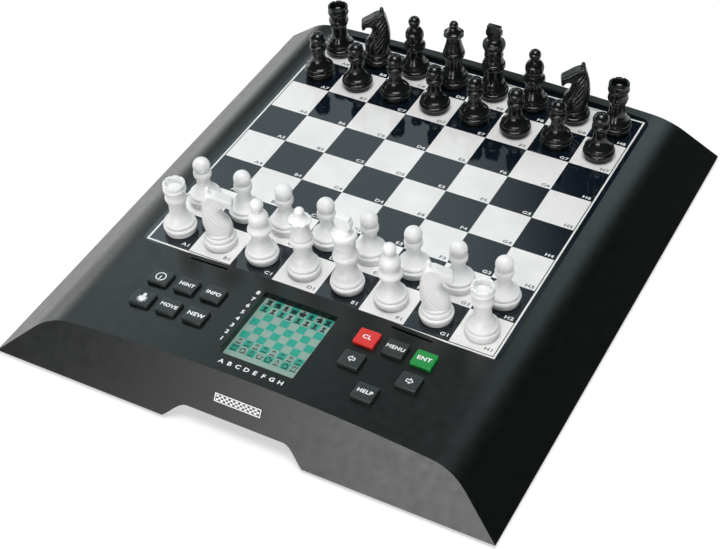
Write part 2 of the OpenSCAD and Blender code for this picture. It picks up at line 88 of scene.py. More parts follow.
# ---------------------------------------------------------------- materials
class Nodes:
    """Short names for building one material's node tree."""

    def __init__(self, name):
        self.material = bpy.data.materials.new(name)
        self.material.use_nodes = True
        self.tree = self.material.node_tree
        self.shader = self.tree.nodes["Principled BSDF"]
        self.coords = self.add("ShaderNodeTexCoord").outputs["Object"]

    def add(self, kind, **values):
        node = self.tree.nodes.new(kind)
        for key, value in values.items():
            setattr(node, key, value)
        return node

    def link(self, a, b):
        self.tree.links.new(a, b)

    def noise(self, scale, detail=3.0, rough=0.55, coords=None):
        node = self.add("ShaderNodeTexNoise")
        node.inputs["Scale"].default_value = scale
        node.inputs["Detail"].default_value = detail
        node.inputs["Roughness"].default_value = rough
        self.link(coords or self.coords, node.inputs["Vector"])
        return node.outputs["Fac"]

    def spread(self, value, low, high, in_low=0.3, in_high=0.7):
        node = self.add("ShaderNodeMapRange")
        for key, v in (("From Min", in_low), ("From Max", in_high), ("To Min", low), ("To Max", high)):
            node.inputs[key].default_value = v
        self.link(value, node.inputs["Value"])
        return node.outputs["Result"]

    def blend(self, factor, a, b):
        node = self.add("ShaderNodeMix", data_type="RGBA")
        node.inputs["A"].default_value = (*a, 1)
        node.inputs["B"].default_value = (*b, 1)
        self.link(factor, node.inputs["Factor"])
        return node.outputs["Result"]

    def bump(self, height, distance, strength=1.0, base=None):
        node = self.add("ShaderNodeBump")
        node.inputs["Distance"].default_value = distance
        node.inputs["Strength"].default_value = strength
        self.link(height, node.inputs["Height"])
        if base is not None:
            self.link(base, node.inputs["Normal"])
        return node.outputs["Normal"]

    def set(self, **values):
        for key, value in values.items():
            self.shader.inputs[key.replace("_", " ")].default_value = value


def shade(color, amount):
    return tuple(min(1, c * amount) for c in color)


def moulded(name, color, rough, spread=0.06, tint=0.12, grain=2600, grain_depth=0.0, coat=0.0,
            cloud=35, specular=0.5, ripple=0.0):
    """Moulded plastic: slow colour and gloss drift, a fine grain, and a faint moulding ripple."""
    n = Nodes(name)
    n.link(n.blend(n.spread(n.noise(cloud, 4), 0, 1), shade(color, 1 - tint), shade(color, 1 + tint)),
           n.shader.inputs["Base Color"])
    n.link(n.spread(n.noise(cloud * 6, 3), rough - spread, rough + spread),
           n.shader.inputs["Roughness"])
    normal = None
    if ripple:
        normal = n.bump(n.noise(cloud * 2, 1), ripple)
    if grain_depth:
        normal = n.bump(n.noise(grain, 2), grain_depth, base=normal)
    if normal is not None:
        n.link(normal, n.shader.inputs["Normal"])
    n.set(Coat_Weight=coat, Coat_Roughness=0.06, Specular_IOR_Level=specular)
    return n.material


def printed(name, color, rough=0.07):
    """Ink under a glossy clear film: near-flat colour with a slight density drift."""
    n = Nodes(name)
    n.link(n.blend(n.spread(n.noise(60, 4), 0, 1), shade(color, 0.94), shade(color, 1.05)),
           n.shader.inputs["Base Color"])
    n.link(n.spread(n.noise(240, 3), rough - 0.02, rough + 0.03), n.shader.inputs["Roughness"])
    n.link(n.bump(n.noise(90, 1), 0.000012), n.shader.inputs["Normal"])
    n.set(Specular_IOR_Level=0.62)
    return n.material


M = {}
M["case"] = moulded("case_plastic", (0.0018, 0.0034, 0.0027), 0.31, 0.03, 0.10, 2200, 0.000012,
                    ripple=0.00001)
M["case_dark"] = moulded("case_under_plastic", (0.012, 0.012, 0.012), 0.5, 0.05, 0.15, 1600, 0.00003)
M["key"] = moulded("key_plastic", (0.022, 0.028, 0.0275), 0.36, 0.05, 0.12, 2400, 0.000012)
M["key_red"] = moulded("red_key_plastic", (0.72, 0.035, 0.028), 0.36, 0.05, 0.06, 2400, 0.00001)
M["key_green"] = moulded("green_key_plastic", (0.008, 0.26, 0.045), 0.36, 0.05, 0.06, 2400, 0.00001)
M["legend"] = printed("white_legend_ink", (0.86, 0.87, 0.87), 0.4)
M["dark_square"] = printed("dark_square_print", (0.0045, 0.0085, 0.0145), 0.05)
M["white_square"] = printed("white_square_print", (0.85, 0.84, 0.828), 0.06)
M["label_dark"] = printed("grey_label_ink", (0.11, 0.12, 0.125), 0.3)
M["lcd_teal"] = printed("lcd_teal_cells", (0.004, 0.375, 0.27), 0.35)
M["lcd_beige"] = printed("lcd_light_cells", (0.285, 0.43, 0.365), 0.35)
M["lcd_back"] = printed("lcd_background", (0.30, 0.45, 0.385), 0.35)
M["lcd_ink"] = printed("lcd_dark_cells", (0.006, 0.02, 0.022), 0.35)
M["lcd_frame"] = printed("lcd_frame_ink", (0.012, 0.013, 0.013), 0.3)
M["badge_dark"] = printed("badge_dark_ink", (0.012, 0.013, 0.014), 0.2)
M["badge_white"] = printed("badge_white_ink", (0.84, 0.84, 0.84), 0.25)
M["rubber"] = moulded("black_rubber", (0.018, 0.018, 0.018), 0.75, 0.08, 0.2, 900, 0.00006)
M["silicone"] = moulded("silicone", (0.6, 0.6, 0.57), 0.55, 0.05, 0.05, 900, 0.00002)
M["pcb"] = moulded("circuit_board_lacquer", (0.012, 0.10, 0.035), 0.3, 0.06, 0.25, 500, 0.00002, 0.3,
                   cloud=220)
M["cell"] = moulded("cell_sleeve", (0.5, 0.2, 0.03), 0.25, 0.04, 0.08, 900, 0.00001, 0.4)
M["film"] = moulded("sensor_film", (0.5, 0.32, 0.10), 0.2, 0.04, 0.12, 800, 0.00001, 0.5)
M["cone"] = moulded("speaker_cone", (0.02, 0.02, 0.02), 0.6, 0.08, 0.2, 700, 0.00006)
M["display_case"] = moulded("display_case", (0.5, 0.52, 0.46), 0.4, 0.05, 0.08, 900, 0.00001)


def metal(name, color, rough):
    n = Nodes(name)
    n.link(n.blend(n.spread(n.noise(160, 4), 0, 1), shade(color, 0.85), color),
           n.shader.inputs["Base Color"])
    n.link(n.spread(n.noise(700, 3), rough - 0.08, rough + 0.1), n.shader.inputs["Roughness"])
    n.link(n.bump(n.noise(1500, 2), 0.00001), n.shader.inputs["Normal"])
    n.set(Metallic=1.0)
    return n.material


M["steel"] = metal("plated_steel", (0.62, 0.63, 0.64), 0.3)


def white_piece_plastic():
    """White moulded polystyrene that lets a little light in."""
    n = Nodes("white_piece_plastic")
    n.link(n.blend(n.spread(n.noise(90, 3), 0, 1), (0.865, 0.867, 0.865), (0.905, 0.906, 0.902)),
           n.shader.inputs["Base Color"])
    n.link(n.spread(n.noise(500, 3), 0.30, 0.42), n.shader.inputs["Roughness"])
    n.link(n.bump(n.noise(1800, 2), 0.000012), n.shader.inputs["Normal"])
    n.set(Subsurface_Weight=0.5, Subsurface_Scale=0.0025)
    n.shader.inputs["Subsurface Radius"].default_value = (1.0, 0.95, 0.9)
    return n.material


def black_piece_plastic():
    """Glossy black moulded polystyrene with the faint waviness of a moulded surface."""
    n = Nodes("black_piece_plastic")
    n.link(n.blend(n.spread(n.noise(120, 3), 0, 1), (0.005, 0.006, 0.0056), (0.0085, 0.0098, 0.0092)),
           n.shader.inputs["Base Color"])
    n.link(n.spread(n.noise(420, 3), 0.15, 0.23), n.shader.inputs["Roughness"])
    n.link(n.bump(n.noise(260, 2), 0.000009), n.shader.inputs["Normal"])
    n.set(Specular_IOR_Level=0.5)
    return n.material


M["white_piece"] = white_piece_plastic()
M["black_piece"] = black_piece_plastic()


def window_plastic():
    """Clear cover: mostly see-through, with a glossy face."""
    n = Nodes("clear_cover")
    n.link(n.blend(n.spread(n.noise(50, 2), 0, 1), (0.16, 0.2, 0.19), (0.2, 0.24, 0.23)),
           n.shader.inputs["Base Color"])
    n.link(n.spread(n.noise(300, 2), 0.02, 0.06), n.shader.inputs["Roughness"])
    n.set(Alpha=0.05)
    return n.material


M["window"] = window_plastic()


# ---------------------------------------------------------------- mesh helpers
def new_object(name, mesh):
    obj = bpy.data.objects.new(name, mesh)
    bpy.context.scene.collection.objects.link(obj)
    return obj


def mesh_from(name, verts, faces, materials, face_slots=None, smooth=None):
    """A mesh in metres from points in millimetres. smooth is the sharpest angle still shaded smooth."""
    mesh = bpy.data.meshes.new(name)
    mesh.from_pydata([Vector(v) * MM for v in verts], [], faces)
    for m in materials:
        mesh.materials.append(m)
    if face_slots:
        mesh.polygons.foreach_set("material_index", face_slots)
    mesh.update()
    if smooth is not None:
        smooth_by_angle(mesh, smooth)
    return mesh


def smooth_by_angle(mesh, degrees):
    bm = bmesh.new()
    bm.from_mesh(mesh)
    limit = math.radians(degrees)
    for f in bm.faces:
        f.smooth = True
    for e in bm.edges:
        e.smooth = len(e.link_faces) == 2 and e.calc_face_angle(0) < limit
    bm.to_mesh(mesh)
    bm.free()


def apply_modifiers(obj):
    bpy.context.view_layer.update()
    done = bpy.data.meshes.new_from_object(obj.evaluated_get(bpy.context.evaluated_depsgraph_get()))
    old = obj.data
    obj.modifiers.clear()
    obj.data = done
    if old.users == 0:
        bpy.data.meshes.remove(old)


def boolean(obj, cutter_mesh, operation="DIFFERENCE"):
    """Cuts or joins one mesh and applies it."""
    cutter = new_object("cutter", cutter_mesh)
    mod = obj.modifiers.new("cut", "BOOLEAN")
    mod.operation = operation
    mod.solver = "EXACT"
    mod.object = cutter
    apply_modifiers(obj)
    bpy.data.objects.remove(cutter)


def joined(several):
    """Puts several (verts, faces) lists together."""
    verts, faces = [], []
    for v, f in several:
        base = len(verts)
        verts += v
        faces += [[i + base for i in face] for face in f]
    return verts, faces


def box_lists(x0, x1, y0, y1, z0, z1):
    v = [(x, y, z) for z in (z0, z1) for y in (y0, y1) for x in (x0, x1)]
    f = [(0, 2, 3, 1), (4, 5, 7, 6), (0, 1, 5, 4), (2, 6, 7, 3), (0, 4, 6, 2), (1, 3, 7, 5)]
    return v, f


def rounded_loop(w, d, r, n=5):
    """Points round a rectangle with rounded corners, counter-clockwise, about the origin."""
    pts = []
    for cx, cy, a0 in ((1, 1, 0), (-1, 1, 90), (-1, -1, 180), (1, -1, 270)):
        for i in range(n + 1):
            a = math.radians(a0 + 90 * i / n)
            pts.append((cx * (w / 2 - r) + r * math.cos(a), cy * (d / 2 - r) + r * math.sin(a)))
    return pts


def stacked(loops):
    """A closed solid through equal-length loops [(x, y, z), ...], lowest first."""
    n = len(loops[0])
    verts = [p for loop in loops for p in loop]
    faces = [tuple(range(n - 1, -1, -1)), tuple(range(n * (len(loops) - 1), n * len(loops)))]
    for k in range(len(loops) - 1):
        for i in range(n):
            j = (i + 1) % n
            faces.append((k * n + i, k * n + j, (k + 1) * n + j, (k + 1) * n + i))
    return verts, faces


def riding(obj, body, slot, *replaced):
    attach(obj, body)
    if replaced:
        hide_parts(*replaced)
    return obj


def text_lists(text, size, wide=1.0, spacing=1.0):
    """Triangles of a line of text, in millimetres about its middle, as (verts, faces)."""
    curve = bpy.data.curves.new("text", "FONT")
    curve.body = text
    curve.size = size
    curve.align_x = "CENTER"
    curve.align_y = "CENTER"
    curve.offset = 0.015
    curve.space_character = spacing
    curve.resolution_u = 4
    obj = new_object("text", curve)
    bpy.context.view_layer.update()
    mesh = bpy.data.meshes.new_from_object(obj.evaluated_get(bpy.context.evaluated_depsgraph_get()))
    verts = [(v.co.x * wide, v.co.y, 0) for v in mesh.vertices]
    faces = [tuple(p.vertices) for p in mesh.polygons]
    bpy.data.objects.remove(obj)
    bpy.data.meshes.remove(mesh)
    bpy.data.curves.remove(curve)
    return verts, faces


def bold_lists(text, size, weight, wide=1.0, spacing=1.0):
    """Heavier letters: copies of the line laid slightly apart, each a hair above the last."""
    one = text_lists(text, size, wide, spacing)
    steps = ((0, 0), (-1, 0), (1, 0), (0, -1), (0, 1),
             (-0.7, 0.7), (0.7, -0.7), (0.7, 0.7), (-0.7, -0.7))
    hair = 0.001
    return joined([moved(one, weight * a, weight * b, hair * i) for i, (a, b) in enumerate(steps)])


def moved(lists, dx=0.0, dy=0.0, dz=0.0, lift=None):
    """Moves (verts, faces); lift(x, y) gives the height of the surface that they lie on."""
    verts, faces = lists
    out = []
    for x, y, z in verts:
        x, y = x + dx, y + dy
        out.append((x, y, z + (lift(x, y) if lift else dz)))
    return out, faces


# ---------------------------------------------------------------- shape of the housing, as in the CAD
BOARD_LOW, BOARD_HIGH = (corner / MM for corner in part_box("board_sheet"))
BOARD_Z = BOARD_HIGH.z
RECESS_HALF = BOARD_HIGH.x + 0.1
CROWN_RISE, CROWN_EDGE = 3.75, 0.15
CROWN_Z = BOARD_Z + CROWN_RISE
CROWN_DROP = CROWN_RISE - CROWN_EDGE
CROWN_R = (RECESS_HALF ** 2 + CROWN_DROP ** 2) / 2 / CROWN_DROP
SHOULDER_X = RECESS_HALF - 2
SHOULDER_R = 34.0
SHOULDER_A = math.asin(SHOULDER_X / CROWN_R)
FLANK = math.radians(40)
SEAM_Z = 2.2
LEAN_FRONT = 0.61
EDGE_RADIUS = 0.28


def crown_z(x):
    """Height of the crown at distance x from the middle."""
    return CROWN_Z - CROWN_R + math.sqrt(CROWN_R ** 2 - x * x)


SHOULDER_CX = SHOULDER_X - SHOULDER_R * math.sin(SHOULDER_A)
SHOULDER_CZ = crown_z(SHOULDER_X) - SHOULDER_R * math.cos(SHOULDER_A)


def arch_normal(x):
    """Outward normal of the crown, shoulder or flank at distance x from the middle."""
    s = math.copysign(1, x)
    x = abs(x)
    if x <= SHOULDER_X:
        a = math.asin(x / CROWN_R)
    else:
        a = math.asin(min(1, (x - SHOULDER_CX) / SHOULDER_R))
        a = min(a, FLANK)
    return Vector((s * math.sin(a), 0, math.cos(a)))


def arch_z(x):
    """Height of the crown, shoulder or flank at distance x from the middle."""
    x = abs(x)
    if x <= SHOULDER_X:
        return crown_z(x)
    if x <= SHOULDER_CX + SHOULDER_R * math.sin(FLANK):
        return SHOULDER_CZ + math.sqrt(SHOULDER_R ** 2 - (x - SHOULDER_CX) ** 2)
    edge = SHOULDER_CX + SHOULDER_R * math.sin(FLANK)
    return SHOULDER_CZ + SHOULDER_R * math.cos(FLANK) - (x - edge) * math.tan(FLANK)


def dress_housing():
    """The CAD housing's own shape with its sharp edges softened and its curved top shaded smooth."""
    mesh = nodes["top_housing"].data.copy()
    bm = bmesh.new()
    bm.from_mesh(mesh)
    bmesh.ops.remove_doubles(bm, verts=bm.verts, dist=1e-6)
    bmesh.ops.dissolve_limit(bm, angle_limit=math.radians(0.08), verts=bm.verts, edges=bm.edges)
    bm.normal_update()

    def on_arch(v, slack=0.00006):
        return abs(v.co.z - arch_z(v.co.x / MM) * MM) < slack

    soft = []
    for e in bm.edges:
        if len(e.link_faces) != 2 or e.calc_face_angle(0) < math.radians(28):
            continue
        if all(on_arch(v) for v in e.verts):
            soft.append(e)
    print("housing edges to soften:", len(soft), "of", len(bm.edges))
    result = bmesh.ops.bevel(bm, geom=soft, offset=EDGE_RADIUS * MM, offset_type="OFFSET", segments=2,
                             profile=0.5, affect="EDGES", clamp_overlap=True)
    new_faces = set(result["faces"])
    bm.normal_update()
    bm.faces.ensure_lookup_table()
    bm.verts.index_update()
    flags = [f in new_faces for f in bm.faces]
    bm.to_mesh(mesh)
    bm.free()
    mesh.update()

    # the normal that each corner of a face takes
    wanted = [None] * len(mesh.loops)
    vertex_normals = {}
    for p in mesh.polygons:
        if flags[p.index]:
            continue
        smooth = p.normal.z > 0.6 and abs(p.center.z - arch_z(p.center.x / MM) * MM) < 0.00008
        for li in p.loop_indices:
            v = mesh.loops[li].vertex_index
            normal = arch_normal(mesh.vertices[v].co.x / MM) if smooth else p.normal.copy()
            wanted[li] = normal
            vertex_normals.setdefault(v, []).append(normal * p.area)
    for p in mesh.polygons:
        if not flags[p.index]:
            continue
        for li in p.loop_indices:
            v = mesh.loops[li].vertex_index
            near = vertex_normals.get(v)
            wanted[li] = sum(near, Vector()).normalized() if near else mesh.vertices[v].normal
    for p in mesh.polygons:
        p.use_smooth = True
    mesh.normals_split_custom_set([tuple(n.normalized()) for n in wanted])
    mesh.materials.clear()
    mesh.materials.append(M["case"])
    obj = new_object("housing_shell", mesh)
    riding(obj, "housing", "case_top", "top_housing")


dress_housing()


# ---------------------------------------------------------------- playing surface
SQUARE = 25.0
SHIFT = (BOARD_LOW.y + BOARD_HIGH.y) / 2
HALF = BOARD_HIGH.x
SHEET_T, SHEET_CORNER = BOARD_HIGH.z - BOARD_LOW.z, 2.3
LINE_OUT, LINE_IN, GRID_EDGE = 100.2, 99.2, 98.7
FRONT_SLIP = 1.0           # how far the front of the print lies nearer the recess wall


def make_board():
    """Printed sheet: squares, a white line round them and a dark margin, as separate faces."""
    cuts = [-HALF, -LINE_OUT, -LINE_IN, -GRID_EDGE] + [SQUARE * k for k in range(-3, 4)] \
        + [GRID_EDGE, LINE_IN, LINE_OUT, HALF]
    n = len(cuts)
    # the print sits a little low, so that the front line runs close under the recess wall
    rows = [cuts[0]] + [y - FRONT_SLIP for y in cuts[1:4]] + cuts[4:]
    verts = [(x, y + SHIFT, BOARD_Z) for y in rows for x in cuts]
    faces, slots = [], []

    def zone(i):
        """0 for the margin, 1 for the white line, 2 for the dark gap inside it, then the squares"""
        if i in (0, n - 2):
            return 0
        if i in (1, n - 3):
            return 1
        if i in (2, n - 4):
            return 2
        return i
    for j in range(n - 1):
        for i in range(n - 1):
            faces.append((j * n + i, j * n + i + 1, (j + 1) * n + i + 1, (j + 1) * n + i))
            outer = min(zone(i), zone(j))
            if outer == 1:
                slots.append(1)
            elif outer in (0, 2):
                slots.append(0)
            else:
                slots.append(0 if (i + j) % 2 == 0 else 1)
    bm_mesh = mesh_from("board_print", verts, faces, [M["dark_square"], M["white_square"]], slots)
    bm = bmesh.new()
    bm.from_mesh(bm_mesh)
    # thickness, then rounded corners
    rim = [e for e in bm.edges if e.is_boundary]
    out = bmesh.ops.extrude_edge_only(bm, edges=rim)
    low = [g for g in out["geom"] if isinstance(g, bmesh.types.BMVert)]
    for v in low:
        v.co.z -= SHEET_T * MM
    bmesh.ops.contextual_create(bm, geom=[e for e in bm.edges if e.is_boundary])
    for f in bm.faces:
        if f.normal.z < 0.5:
            f.material_index = 0
    upright = [e for e in bm.edges if abs(e.verts[0].co.z - e.verts[1].co.z) > 0.0003
               and all(abs(abs(v.co.x) - HALF * MM) < 1e-6 for v in e.verts)
               and all(abs(abs(v.co.y - SHIFT * MM) - HALF * MM) < 1e-6 for v in e.verts)]
    bmesh.ops.bevel(bm, geom=upright, offset=SHEET_CORNER * MM, segments=6, affect="EDGES", profile=0.5)
    bmesh.ops.recalc_face_normals(bm, faces=bm.faces)
    bm.to_mesh(bm_mesh)
    bm.free()
    obj = new_object("board_print", bm_mesh)
    riding(obj, "housing", "board", "board_sheet")
    labels = {"light": [], "dark": []}
    for rank in range(8):
        for file in range(8):
            text = "ABCDEFGH"[file] + str(rank + 1)
            x = (file - 3) * SQUARE - 3.6
            y = (rank - 4) * SQUARE + SHIFT + 2.1
            if file == 7:
                x -= 1.3
            if rank == 0:
                y += 1.3
            kind = "light" if (rank + file) % 2 == 0 else "dark"
            labels[kind].append(moved(bold_lists(text, 3.0, 0.07, 1.3, 1.1), x, y,
                                      BOARD_Z + 0.02))
    for kind, material in (("light", M["legend"]), ("dark", M["label_dark"])):
        v, f = joined(labels[kind])
        riding(new_object("square_labels_" + kind, mesh_from("labels_" + kind, v, f, [material])),
               "housing", "board")


make_board()


# ---------------------------------------------------------------- display
LCD_LOW, LCD_HIGH = (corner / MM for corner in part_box("lcd_window"))
LCD_LEDGE = 1.5            # how far the window reaches under the edge of its opening
LCD_X, LCD_TOP = LCD_HIGH.x - LCD_LEDGE, LCD_HIGH.z
LCD_Y0, LCD_Y1 = LCD_LOW.y + LCD_LEDGE, LCD_HIGH.y - LCD_LEDGE
PANEL_DEPTH = 0.12         # of the printed panel under the window's top face
CELL_LEFT, CELL_RIGHT, CELL_FRONT = 1.0, 2.4, 6.4    # plain margins round the 8 x 8 cells
CELL_X0, CELL_PX = CELL_LEFT - LCD_X, (2 * LCD_X - CELL_LEFT - CELL_RIGHT) / 8
CELL_Y0, CELL_PY = LCD_Y0 + CELL_FRONT, (LCD_Y1 - LCD_Y0 - CELL_FRONT) / 8

ICONS = {
    "pawn": [(-1.2, -1.7), (1.2, -1.7), (1.2, -1.1), (0.5, -0.7), (0.45, 0.1), (0.8, 0.5), (0.8, 1.1),
             (0.4, 1.5), (-0.4, 1.5), (-0.8, 1.1), (-0.8, 0.5), (-0.45, 0.1), (-0.5, -0.7), (-1.2, -1.1)],
    "rook": [(-1.4, -1.7), (1.4, -1.7), (1.4, -1.1), (0.9, -0.9), (0.9, 0.6), (1.3, 0.9), (1.3, 1.7),
             (0.8, 1.7), (0.8, 1.3), (0.3, 1.3), (0.3, 1.7), (-0.3, 1.7), (-0.3, 1.3), (-0.8, 1.3),
             (-0.8, 1.7), (-1.3, 1.7), (-1.3, 0.9), (-0.9, 0.6), (-0.9, -0.9), (-1.4, -1.1)],
    "knight": [(-1.2, -1.7), (1.4, -1.7), (1.4, -1.1), (1.2, 0.4), (0.6, 1.3), (0.2, 1.8), (-0.1, 1.3),
               (-1.1, 0.7), (-1.6, 0.0), (-1.2, -0.5), (-0.5, -0.1), (-0.3, -0.4), (-1.0, -1.1)],
    "bishop": [(-1.4, -1.7), (1.4, -1.7), (1.2, -1.2), (0.5, -1.0), (0.5, -0.6), (0.9, 0.1),
               (0.6, 0.9), (0.2, 1.4), (0.2, 1.8), (-0.2, 1.8), (-0.2, 1.4), (-0.6, 0.9),
               (-0.9, 0.1), (-0.5, -0.6), (-0.5, -1.0), (-1.2, -1.2)],
    "queen": [(-1.2, -1.7), (1.2, -1.7), (1.1, -0.9), (1.8, 1.2), (0.9, 0.2), (0.7, 1.6), (0.2, 0.3),
              (0, 1.9), (-0.2, 0.3), (-0.7, 1.6), (-0.9, 0.2), (-1.8, 1.2), (-1.1, -0.9)],
    "king": [(-1.3, -1.7), (1.3, -1.7), (1.2, -0.9), (1.7, 0.2), (1.2, 0.9), (0.3, 0.6), (0.3, 1.1),
             (0.7, 1.1), (0.7, 1.5), (0.3, 1.5), (0.3, 1.9), (-0.3, 1.9), (-0.3, 1.5), (-0.7, 1.5),
             (-0.7, 1.1), (-0.3, 1.1), (-0.3, 0.6), (-1.2, 0.9), (-1.7, 0.2), (-1.2, -0.9)],
}
BACK_RANK = ["rook", "knight", "bishop", "queen", "king", "bishop", "knight", "rook"]


def flat(poly, z=0.0):
    return [(x, y, z) for x, y in poly], [tuple(range(len(poly)))]


def make_display():
    """The lit panel under the clear cover: background, cells and the pieces' symbols."""
    z = LCD_TOP - PANEL_DEPTH
    under = LCD_X + 0.8
    parts, slots = [], []

    def put(lists, slot, dz=0.0):
        parts.append(moved(lists, 0, 0, z + dz))
        slots.extend([slot] * len(lists[1]))
    put(flat([(-under, LCD_Y0 - 0.7), (under, LCD_Y0 - 0.7), (under, LCD_Y1 + 0.7),
              (-under, LCD_Y1 + 0.7)]), 4)
    x1 = CELL_X0 + 8 * CELL_PX
    put(flat([(CELL_X0 - 1.6, LCD_Y0 - 0.4), (x1 + 0.6, LCD_Y0 - 0.4), (x1 + 0.6, LCD_Y1 + 0.4),
              (CELL_X0 - 1.6, LCD_Y1 + 0.4)]), 0, 0.01)
    gap = 0.06
    for r in range(8):
        for f in range(8):
            x, y = CELL_X0 + f * CELL_PX, CELL_Y0 + r * CELL_PY
            cell = [(x + gap, y + gap), (x + CELL_PX - gap, y + gap),
                    (x + CELL_PX - gap, y + CELL_PY - gap), (x + gap, y + CELL_PY - gap)]
            put(flat(cell), 1 if (r + f) % 2 == 0 else 2, 0.02)
            kind = {0: BACK_RANK[f], 7: BACK_RANK[f], 1: "pawn", 6: "pawn"}.get(r)
            if not kind:
                continue
            cx, cy = x + CELL_PX / 2, y + CELL_PY / 2
            outline = [(cx + px * 1.2, cy + py * 1.12) for px, py in ICONS[kind]]
            put(flat(outline), 3, 0.03)
            if r < 4:
                inner = [(cx + px * 0.72, cy - 0.05 + py * 0.66) for px, py in ICONS[kind]]
                put(flat(inner), 1 if (r + f) % 2 == 0 else 2, 0.04)
    v, f = joined(parts)
    mesh = mesh_from("display_panel", v, f,
                     [M["lcd_back"], M["lcd_teal"], M["lcd_beige"], M["lcd_ink"], M["lcd_frame"]], slots)
    riding(new_object("display_panel", mesh), "housing", "display")


make_display()


def make_panel_print():
    """Rank numbers and file letters printed round the display."""
    size, weight = 3.4, 0.11
    rank_x, rank_y, rank_step = -23.9, -115.5, 4.97
    file_x, file_y, file_step = -15.9, -128.7, 4.70

    def on_panel(x, y):
        return crown_z(x) + 0.02
    lists = []
    for i in range(8):
        lists.append(moved(bold_lists(str(i + 1), size, weight, 1.15), rank_x, rank_y + i * rank_step,
                           lift=on_panel))
    for i in range(8):
        lists.append(moved(bold_lists("ABCDEFGH"[i], size, weight, 1.2), file_x + i * file_step, file_y,
                           lift=on_panel))
    v, f = joined(lists)
    riding(new_object("panel_print", mesh_from("panel_print", v, f, [M["legend"]])), "housing", "case_top")


make_panel_print()


# ---------------------------------------------------------------- keys
KEYS = {
    "power_key": ("key", "power"), "hint_key": ("key", "HINT"), "info_key": ("key", "INFO"),
    "light_key": ("key", "bulb"), "move_key": ("key", "MOVE"), "new_key": ("key", "NEW"),
    "clear_key": ("key_red", "CL"), "menu_key": ("key", "MENU"), "enter_key": ("key_green", "ENT"),
    "left_key": ("key", "left"), "right_key": ("key", "right"), "help_key": ("key", "HELP"),
}
KEY_SLOTS = {"key": "key_grey", "key_red": "key_red", "key_green": "key_green"}
KEY_W, KEY_D, KEY_CORNER, KEY_RISE = 11.35, 10.35, 0.9, 2.0
FLANGE_W, FLANGE_D, FLANGE_T = 13.4, 12.4, 1.2
FLANGE_REACH = 7.0         # from a key's middle to where the housing over its flange is lowest
WALL, FLANGE_GAP = 2.4, 0.3
STEM = 5


def strip(points, width, closed=False):
    """A flat ribbon of even width along points."""
    n = len(points)
    left, right = [], []
    for i, (x, y) in enumerate(points):
        a = points[(i - 1) % n] if closed or i > 0 else points[i]
        b = points[(i + 1) % n] if closed or i < n - 1 else points[i]
        d1 = Vector((x - a[0], y - a[1]))
        d2 = Vector((b[0] - x, b[1] - y))
        d1 = d1.normalized() if d1.length else d2.normalized()
        d2 = d2.normalized() if d2.length else d1
        m = (d1 + d2).normalized()
        k = width / 2 / max(0.4, m.dot(d1))
        left.append((x - m.y * k, y + m.x * k, 0))
        right.append((x + m.y * k, y - m.x * k, 0))
    faces = [(i, n + i, n + (i + 1) % n, (i + 1) % n) for i in range(n if closed else n - 1)]
    return left + right, faces


def circle_points(r, a0=0.0, a1=360.0, n=24, cx=0.0, cy=0.0):
    return [(cx + r * math.cos(math.radians(a0 + (a1 - a0) * i / n)),
             cy + r * math.sin(math.radians(a0 + (a1 - a0) * i / n))) for i in range(n + 1)]


def legend(kind):
    if kind == "power":
        return joined([strip(circle_points(2.6, -72, 252, 28), 0.62), strip([(0, 0.6), (0, -3.2)], 0.62)])
    if kind == "bulb":
        bulb = circle_points(1.95, 120, 420, 20, 0, -0.7)
        base = [(-1.0, 0.7), (-0.9, 2.5), (-0.4, 3.1), (0.4, 3.1), (0.9, 2.5), (1.0, 0.7)]
        rays = [strip([(2.1 * math.cos(a), -0.7 + 2.1 * math.sin(a)),
                       (2.8 * math.cos(a), -0.7 + 2.8 * math.sin(a))], 0.42)
                for a in (math.radians(d) for d in (150, 180, 210, 240, 270, 300, 330, 0, 30))]
        return joined([flat(bulb), flat(base)] + rays)
    if kind in ("left", "right"):
        s = -1 if kind == "right" else 1
        arrow = [(-2.2, 0), (-0.3, 1.8), (-0.3, 0.9), (1.9, 0.9), (1.9, -0.9), (-0.3, -0.9), (-0.3, -1.8)]
        return strip([(x * s * 0.82, y * 0.86) for x, y in arrow], 0.5, closed=True)
    size = 3.5 if len(kind) < 4 else 3.1
    return bold_lists(kind, size, 0.12, 1.1, 1.1)


def make_key(node, look, kind):
    """Cap on a flange and a stem, with rounded edges and a slightly dished top, and its legend."""
    low, high = (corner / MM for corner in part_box(node))
    x, y = (low.x + high.x) / 2, (low.y + high.y) / 2
    top = crown_z(x) + KEY_RISE
    flange = crown_z(abs(x) + FLANGE_REACH) - WALL - FLANGE_GAP
    loops = []

    def level(w, d, r, z):
        loops.append([(x + px, y + py, z) for px, py in rounded_loop(w, d, r)])
    level(STEM, STEM, 1, low.z)
    level(STEM, STEM, 1, flange - FLANGE_T)
    level(FLANGE_W, FLANGE_D, 1.5, flange - FLANGE_T)
    level(FLANGE_W, FLANGE_D, 1.5, flange)
    level(KEY_W, KEY_D, KEY_CORNER, flange)
    level(KEY_W, KEY_D, KEY_CORNER, top - 1.0)
    r = 0.5
    for i in range(1, 6):
        a = math.radians(90 * i / 5)
        inset = r * (1 - math.cos(a))
        level(KEY_W - 0.05 - 2 * inset, KEY_D - 0.05 - 2 * inset, max(KEY_CORNER - inset * 0.4, 0.5),
              top - r + r * math.sin(a))
    for share, dip in ((0.55, 0.04), (0.2, 0.06)):
        level((KEY_W - 1.05) * share, (KEY_D - 1.05) * share, 0.4 * share + 0.05, top - dip)
    v, f = stacked(loops)
    mesh = mesh_from(node + "_cap", v, f, [M[look]], smooth=35)
    body, slot = node + "_body", KEY_SLOTS[look]
    riding(new_object(node + "_cap", mesh), body, slot, node)
    lists = moved(legend(kind), x, y, top + 0.01)
    riding(new_object(node + "_legend", mesh_from(node + "_legend", *lists, [M["legend"]])), body, slot)


for node, (look, kind) in KEYS.items():
    make_key(node, look, kind)


